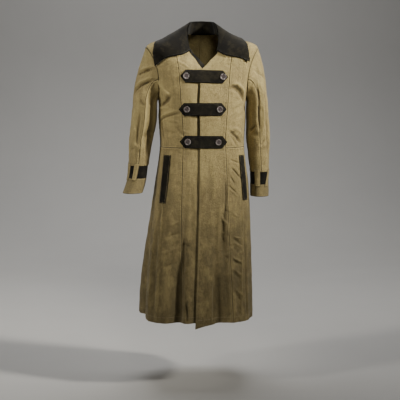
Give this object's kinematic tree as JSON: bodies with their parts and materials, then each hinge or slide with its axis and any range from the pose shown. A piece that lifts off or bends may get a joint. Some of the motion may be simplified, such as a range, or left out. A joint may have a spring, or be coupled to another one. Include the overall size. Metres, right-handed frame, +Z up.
{
  "type": "coat",
  "caption": "Long twill coat in worn form, with a wide pointed suede collar, suede closing tabs with buttons, pocket welts and wrist bands.",
  "frame": {"origin": "on the centre line between the shoulders, at the height where the neck and shoulders of a wearer hold the coat", "axes": "+X to the wearer's left, -Y to the front of the coat, +Z up"},
  "size_m": [0.6377, 0.4068, 1.3021],
  "materials": {
    "twill": "matt",
    "suede": "matt",
    "button": "satin"
  },
  "bodies": {
    "root": {"centre_front_right": "twill", "centre_front_left": "twill", "side_front_upper_right": "twill", "side_front_upper_left": "twill", "side_front_skirt_right": "twill", "side_front_skirt_left": "twill", "back_upper_right": "twill", "back_upper_left": "twill", "back_skirt_right": "twill", "back_skirt_left": "twill", "upper_sleeve_right": "twill", "upper_sleeve_left": "twill", "under_sleeve_right": "twill", "under_sleeve_left": "twill", "cuff_right": "twill", "cuff_left": "twill", "wrist_loop_outer_right": "twill", "wrist_loop_outer_left": "twill", "wrist_loop_front_right": "twill", "wrist_loop_front_left": "twill", "wrist_loop_back_right": "twill", "wrist_loop_back_left": "twill", "wrist_band_right": "suede", "wrist_band_left": "suede", "pocket_welt_right": "suede", "pocket_welt_left": "suede", "collar_stand": "suede", "collar_fall": "suede", "tab_top": "suede", "tab_middle": "suede", "tab_bottom": "suede", "button_top_right": "button", "button_top_left": "button", "button_middle_right": "button", "button_middle_left": "button", "button_bottom_right": "button", "button_bottom_left": "button"}
  },
  "joints": []
}
